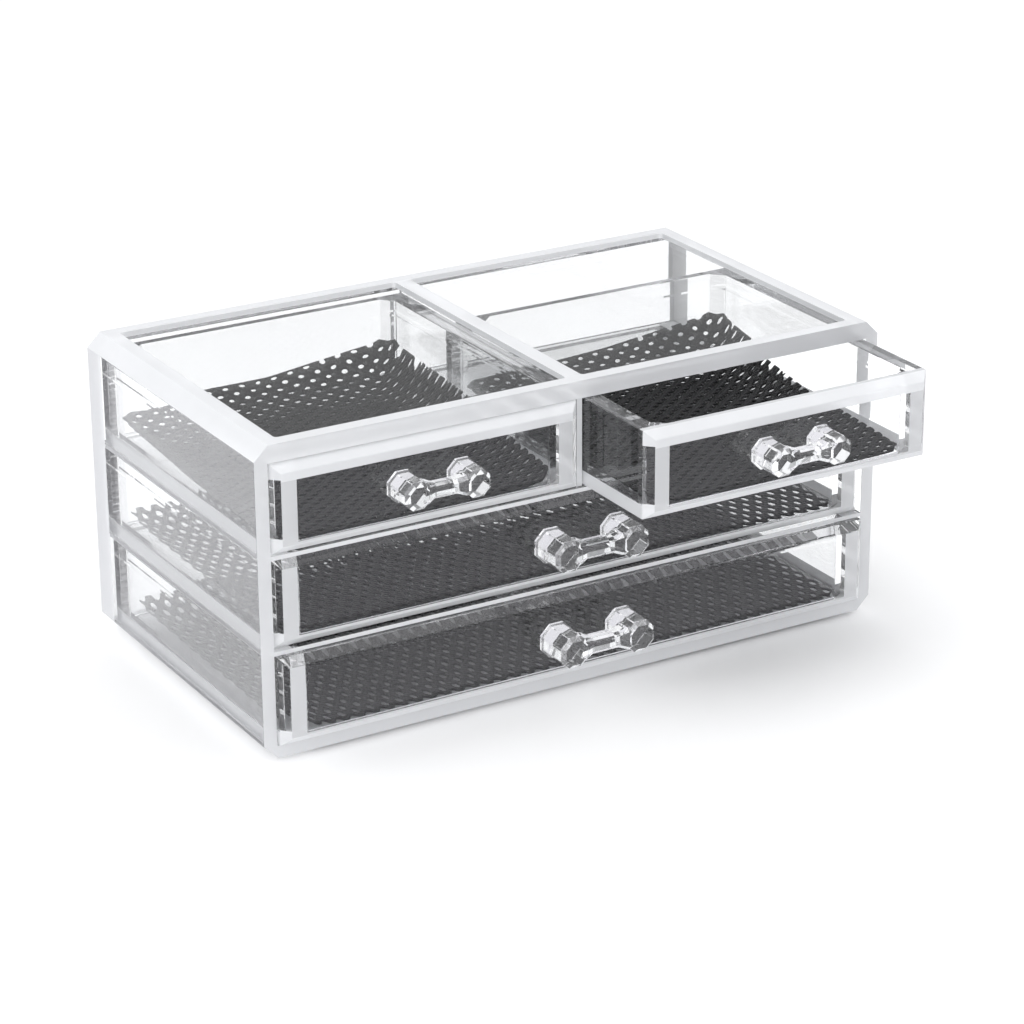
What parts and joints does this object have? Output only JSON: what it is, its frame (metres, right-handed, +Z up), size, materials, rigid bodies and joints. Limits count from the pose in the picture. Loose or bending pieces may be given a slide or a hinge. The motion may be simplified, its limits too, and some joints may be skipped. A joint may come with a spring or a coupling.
{
  "type": "organizer box with drawers",
  "caption": "Clear plastic vanity organizer with stacked pull-out drawers, bone-shaped handles, chamfered corners, a rimmed flat top and loose black net liners.",
  "frame": {"origin": "middle of the footprint of the whole object, with its drawers as they rest, on the plane that the feet stand on", "axes": "+X along the width, to the right as seen from the front; +Y to the back; +Z up. The drawers pull out along -Y"},
  "size_m": [0.24, 0.1788, 0.11],
  "materials": {
    "case_plastic": "clear, polished",
    "foot_plastic": "clear, polished",
    "drawer_plastic": "clear, polished",
    "handle_plastic": "clear, polished",
    "liner_net": "satin black net"
  },
  "bodies": {
    "case": {"left_side_panel": "case_plastic", "right_side_panel": "case_plastic", "top_panel": "case_plastic", "bottom_panel": "case_plastic", "back_panel": "case_plastic", "upper_shelf": "case_plastic", "lower_shelf": "case_plastic", "centre_divider": "case_plastic", "foot_front_left": "foot_plastic", "foot_front_right": "foot_plastic", "foot_back_left": "foot_plastic", "foot_back_right": "foot_plastic"},
    "top_left_drawer": {"drawer_top_left": "drawer_plastic", "handle_top_left": "handle_plastic", "liner_top_left": "liner_net"},
    "top_right_drawer": {"drawer_top_right": "drawer_plastic", "handle_top_right": "handle_plastic", "liner_top_right": "liner_net"},
    "middle_drawer": {"drawer_middle": "drawer_plastic", "handle_middle": "handle_plastic", "liner_middle": "liner_net"},
    "bottom_drawer": {"drawer_bottom": "drawer_plastic", "handle_bottom": "handle_plastic", "liner_bottom": "liner_net"}
  },
  "joints": [
    {"name": "top_left_slide", "type": "slide", "parent": "case", "child": "top_left_drawer", "axis": [0, -1, 0], "range_m": [-0.002, 0.098]},
    {"name": "top_right_slide", "type": "slide", "parent": "case", "child": "top_right_drawer", "axis": [0, -1, 0], "range_m": [-0.038, 0.062]},
    {"name": "middle_slide", "type": "slide", "parent": "case", "child": "middle_drawer", "axis": [0, -1, 0], "range_m": [-0.0005, 0.0995]},
    {"name": "bottom_slide", "type": "slide", "parent": "case", "child": "bottom_drawer", "axis": [0, -1, 0], "range_m": [-0.004, 0.096]}
  ]
}
